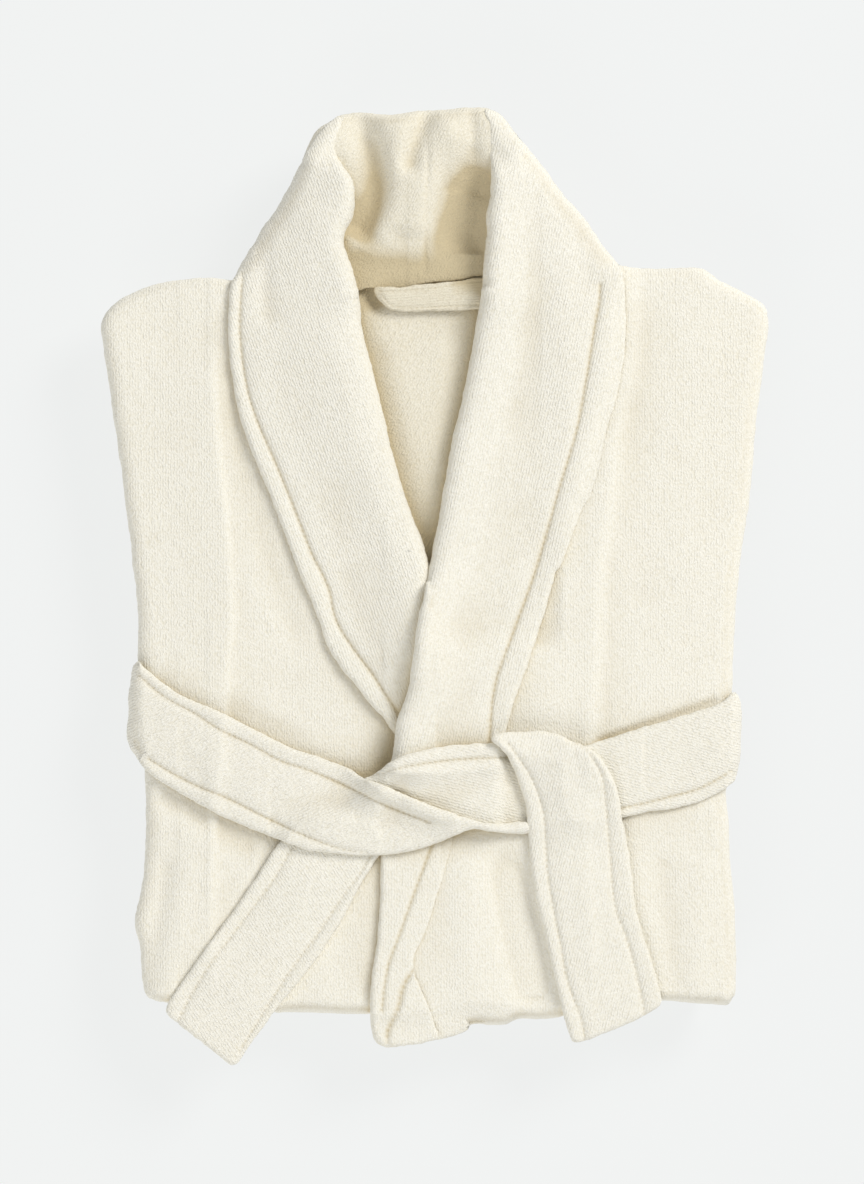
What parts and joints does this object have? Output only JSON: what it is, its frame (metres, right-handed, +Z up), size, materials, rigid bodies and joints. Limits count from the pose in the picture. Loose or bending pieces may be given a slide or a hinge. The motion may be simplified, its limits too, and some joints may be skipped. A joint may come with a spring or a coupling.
{
  "type": "folded bathrobe",
  "caption": "Shawl-collar terry bathrobe folded flat in thirds with its belt tied in front; skirt thirds, belt tails and hanger loop are hinged.",
  "frame": {"origin": "bottom centre of the folded robe's bounding box, on the surface it lies on", "axes": "+Y from the lower fold towards the collar, +X towards the wearer's left, +Z up out of the robe's front"},
  "size_m": [0.396, 0.5748, 0.0698],
  "materials": {
    "terry_body": "cream cotton terry, uncut loops",
    "terry_collar": "cream cotton terry, uncut loops",
    "terry_belt": "cream cotton terry, topstitched",
    "loop_cloth": "flat-woven cream cotton strip"
  },
  "bodies": {
    "robe_body": {"back_panel": "terry_body", "right_front": "terry_body", "left_front": "terry_body", "left_front_facing": "terry_body", "left_sleeve": "terry_body", "right_sleeve": "terry_body", "left_cuff": "terry_body", "right_cuff": "terry_body", "collar_roll": "terry_collar", "collar_stand": "terry_collar", "collar_fall": "terry_collar", "right_lapel": "terry_collar", "left_lapel": "terry_collar", "right_lapel_band": "terry_collar", "left_lapel_band": "terry_collar", "belt_right_strand": "terry_belt", "belt_left_strand": "terry_belt", "belt_back_run": "terry_belt", "belt_knot": "terry_belt", "belt_loops": "loop_cloth", "lower_fold": "terry_body"},
    "skirt_middle": {"skirt_back_panel": "terry_body", "skirt_right_front": "terry_body", "skirt_left_front": "terry_body", "right_pocket": "terry_body", "left_pocket": "terry_body", "right_pocket_band": "terry_body", "left_pocket_band": "terry_body", "upper_fold": "terry_body"},
    "skirt_hem": {"hem_back_panel": "terry_body", "hem_right_front": "terry_body", "hem_left_front": "terry_body", "hem_band": "terry_body"},
    "belt_tail_r": {"belt_tail_right": "terry_belt"},
    "belt_tail_l": {"belt_tail_left": "terry_belt"},
    "loop": {"hanger_loop": "loop_cloth"}
  },
  "joints": [
    {"name": "skirt_unfold", "type": "hinge", "parent": "robe_body", "child": "skirt_middle", "pos_m": [0, -0.2628, 0.0227], "axis": [-1, 0, 0], "range_deg": [0, 180], "deforming": ["lower_fold"]},
    {"name": "hem_unfold", "type": "hinge", "parent": "skirt_middle", "child": "skirt_hem", "pos_m": [0, 0.156, 0.0101], "axis": [1, 0, 0], "range_deg": [0, 180], "deforming": ["upper_fold"]},
    {"name": "right_tail_lift", "type": "hinge", "parent": "robe_body", "child": "belt_tail_r", "pos_m": [-0.0634, -0.1604, 0.0516], "axis": [-0.99, 0.1414, 0], "range_deg": [0, 70]},
    {"name": "left_tail_lift", "type": "hinge", "parent": "robe_body", "child": "belt_tail_l", "pos_m": [0.06, -0.0862, 0.0688], "axis": [-1, 0, 0], "range_deg": [0, 70]},
    {"name": "hanger_loop_flip", "type": "hinge", "parent": "robe_body", "child": "loop", "pos_m": [-0.007, 0.1842, 0.0429], "axis": [-1, 0, 0], "range_deg": [0, 80]}
  ]
}
